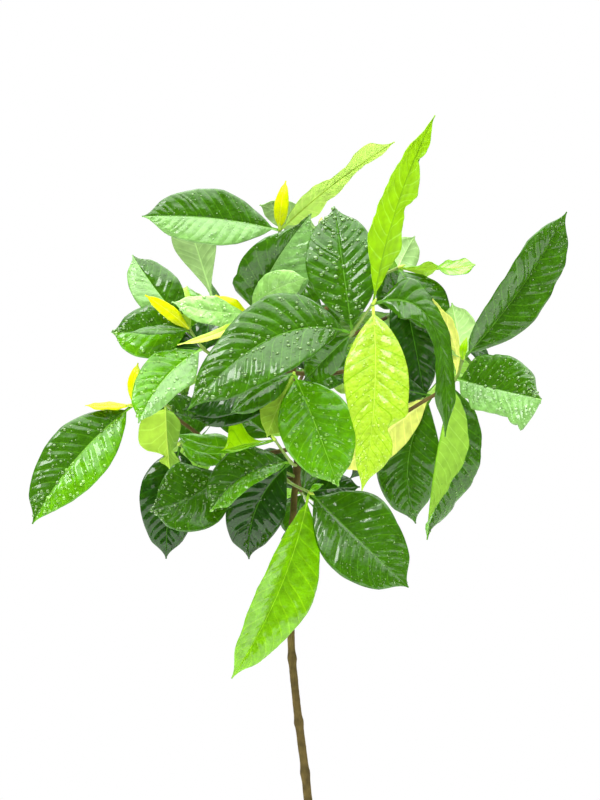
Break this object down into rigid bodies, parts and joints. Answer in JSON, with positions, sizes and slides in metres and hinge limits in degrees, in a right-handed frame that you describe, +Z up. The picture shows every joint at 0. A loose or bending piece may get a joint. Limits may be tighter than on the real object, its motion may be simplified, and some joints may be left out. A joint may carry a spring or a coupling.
{
  "type": "potted standard gardenia",
  "caption": "Slim bare stem rising from a plain clay pot to a loose round crown of large drip-tipped leaves in opposite pairs.",
  "frame": {"origin": "centre of the pot's flat underside", "axes": "+Z up the stem; the crown's best side faces -Y; +X to that side's right"},
  "size_m": [0.52, 0.4403, 1.1185],
  "materials": {
    "clay": "matte",
    "potting_mix": "matte",
    "bark": "matte",
    "foliage": "satin"
  },
  "bodies": {
    "root": {"pot": "clay", "soil": "potting_mix", "stem": "bark", "front_bough": "bark", "right_bough": "bark", "left_bough": "bark", "upper_left_bough": "bark", "low_left_bough": "bark", "low_right_bough": "bark", "right_back_bough": "bark", "top_back_bough": "bark", "high_right_back_bough": "bark", "low_right_back_bough": "bark", "high_left_back_bough": "bark", "low_left_back_bough": "bark", "middle_back_bough": "bark", "low_back_bough": "bark", "right_side_bough": "bark", "left_side_bough": "bark", "front_spray": "foliage", "right_spray": "foliage", "low_spray": "foliage", "left_spray": "foliage", "upper_left_spray": "foliage", "top_spray": "foliage", "crown_front_spray": "foliage", "right_back_spray": "foliage", "low_right_spray": "foliage", "centre_spray": "foliage", "inner_left_spray": "foliage", "low_left_spray": "foliage", "top_back_spray": "foliage", "high_right_back_spray": "foliage", "low_right_back_spray": "foliage", "high_left_back_spray": "foliage", "low_left_back_spray": "foliage", "middle_back_spray": "foliage", "low_back_spray": "foliage", "right_side_spray": "foliage", "left_side_spray": "foliage"}
  },
  "joints": []
}
